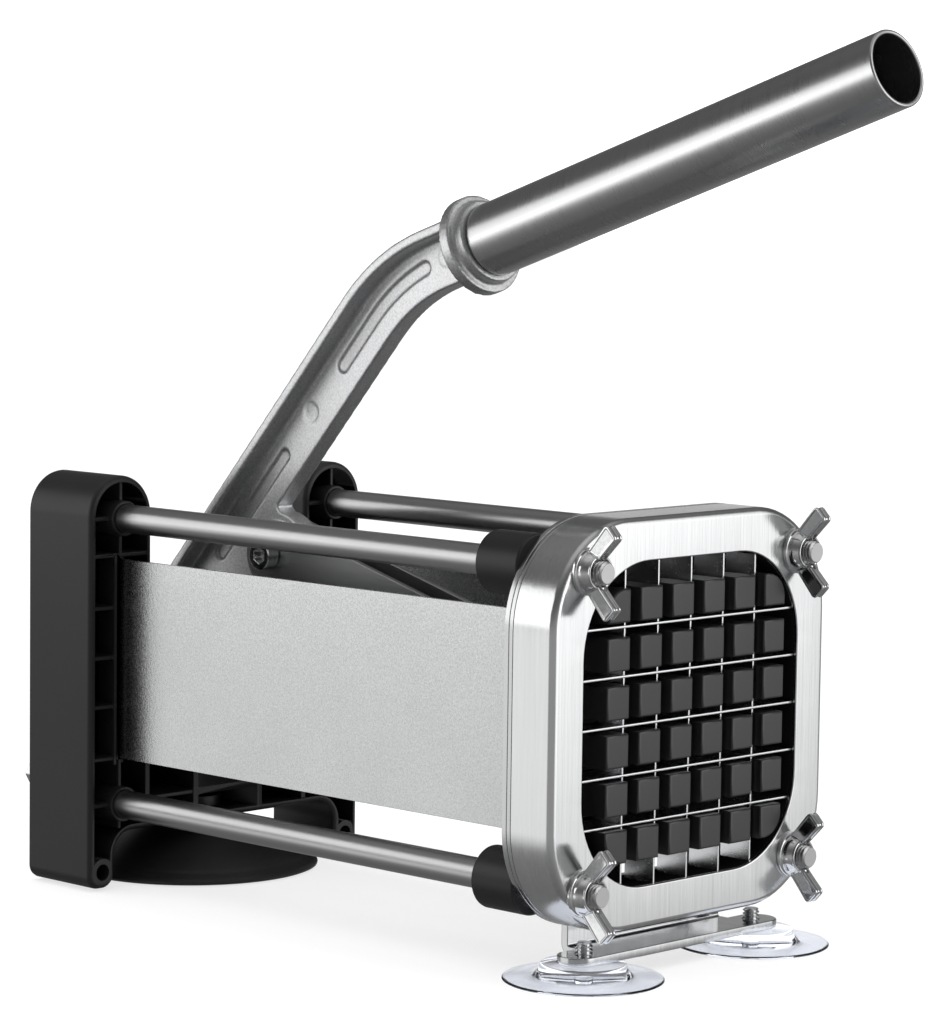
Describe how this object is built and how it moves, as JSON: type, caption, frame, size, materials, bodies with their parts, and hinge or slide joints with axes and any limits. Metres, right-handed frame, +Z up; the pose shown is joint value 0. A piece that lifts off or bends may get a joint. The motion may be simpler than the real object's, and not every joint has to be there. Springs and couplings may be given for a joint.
{
  "type": "french fry cutter",
  "caption": "Lever-operated potato chipper: a cast handle and link slide a studded pusher through a square blade grid; suction-cup feet.",
  "frame": {"origin": "centre of the overall box on the ground plane under the suction cups", "axes": "+Z up, -Y towards the blade grid at the front, +Y towards the rear frame, +X to the right seen from the front"},
  "size_m": [0.1078, 0.2964, 0.2404],
  "materials": {
    "black_plastic": "satin moulded black plastic",
    "stud_plastic": "matt charcoal plastic, food grade",
    "black_rubber": "matt black rubber",
    "clear_vinyl": "clear soft vinyl, slightly blue",
    "cover_steel": "drawn stainless steel, bright face and brushed side wall",
    "panel_steel": "fine bead-blasted stainless sheet",
    "rod_steel": "satin ground stainless rod with threaded ends",
    "blade_steel": "bright stainless blades",
    "plate_steel": "stainless plate with bright cut edges",
    "link_steel": "flat stainless link plates",
    "zinc": "bright zinc-plated cast wing nuts",
    "fastener": "bright zinc-plated fasteners",
    "cast_alloy": "sand-textured cast aluminium",
    "tube_steel": "brushed stainless tube"
  },
  "bodies": {
    "frame": {"rear_frame": "black_plastic", "rear_suction_cup": "black_rubber", "rear_cup_stud": "fastener", "tie_rod_upper_left": "rod_steel", "tie_rod_upper_right": "rod_steel", "tie_rod_lower_left": "rod_steel", "tie_rod_lower_right": "rod_steel", "rear_screws": "fastener", "spacer_upper_left": "black_plastic", "spacer_upper_right": "black_plastic", "spacer_lower_left": "black_plastic", "spacer_lower_right": "black_plastic", "side_panel_left": "panel_steel", "side_panel_right": "panel_steel", "back_plate": "plate_steel", "blade_frame": "black_plastic", "blades_vertical": "blade_steel", "blades_horizontal": "blade_steel", "front_cover": "cover_steel", "foot_bracket": "plate_steel", "front_cup_left": "clear_vinyl", "front_cup_right": "clear_vinyl", "front_cup_studs": "fastener", "pivot_shaft": "fastener"},
    "handle": {"handle_casting": "cast_alloy", "handle_tube": "tube_steel", "link_bolt": "fastener", "link_nut": "fastener"},
    "links": {"link_left": "link_steel", "link_right": "link_steel"},
    "pusher": {"pusher_block": "stud_plastic", "pusher_pin": "fastener"},
    "wing_nut_upper_left": {"wing_nut_upper_left": "zinc"},
    "wing_nut_upper_right": {"wing_nut_upper_right": "zinc"},
    "wing_nut_lower_left": {"wing_nut_lower_left": "zinc"},
    "wing_nut_lower_right": {"wing_nut_lower_right": "zinc"}
  },
  "joints": [
    {"name": "handle_hinge", "type": "hinge", "parent": "frame", "child": "handle", "pos_m": [0, 0.11375, 0.0429], "axis": [-1, 0, 0], "range_deg": [0, 90]},
    {"name": "pusher_slide", "type": "slide", "parent": "frame", "child": "pusher", "axis": [0, 1, 0], "range_m": [0, 0.0927]},
    {"name": "link_pivot", "type": "hinge", "parent": "handle", "child": "links", "pos_m": [0, 0.07105, 0.0949], "axis": [-1, 0, 0], "range_deg": [-85.5, 0]},
    {"name": "wing_nut_upper_left_spin", "type": "hinge", "parent": "frame", "child": "wing_nut_upper_left", "pos_m": [-0.041, -0.08625, 0.1056], "axis": [0, 1, 0], "continuous": true},
    {"name": "wing_nut_upper_right_spin", "type": "hinge", "parent": "frame", "child": "wing_nut_upper_right", "pos_m": [0.041, -0.08625, 0.1056], "axis": [0, 1, 0], "continuous": true},
    {"name": "wing_nut_lower_left_spin", "type": "hinge", "parent": "frame", "child": "wing_nut_lower_left", "pos_m": [-0.041, -0.08625, 0.0242], "axis": [0, 1, 0], "continuous": true},
    {"name": "wing_nut_lower_right_spin", "type": "hinge", "parent": "frame", "child": "wing_nut_lower_right", "pos_m": [0.041, -0.08625, 0.0242], "axis": [0, 1, 0], "continuous": true}
  ],
  "couplings": [
    {"joint": "pusher_slide", "follows": "handle_hinge", "m_per_rad": 0.05896},
    {"joint": "link_pivot", "follows": "handle_hinge", "ratio": -0.94766}
  ]
}
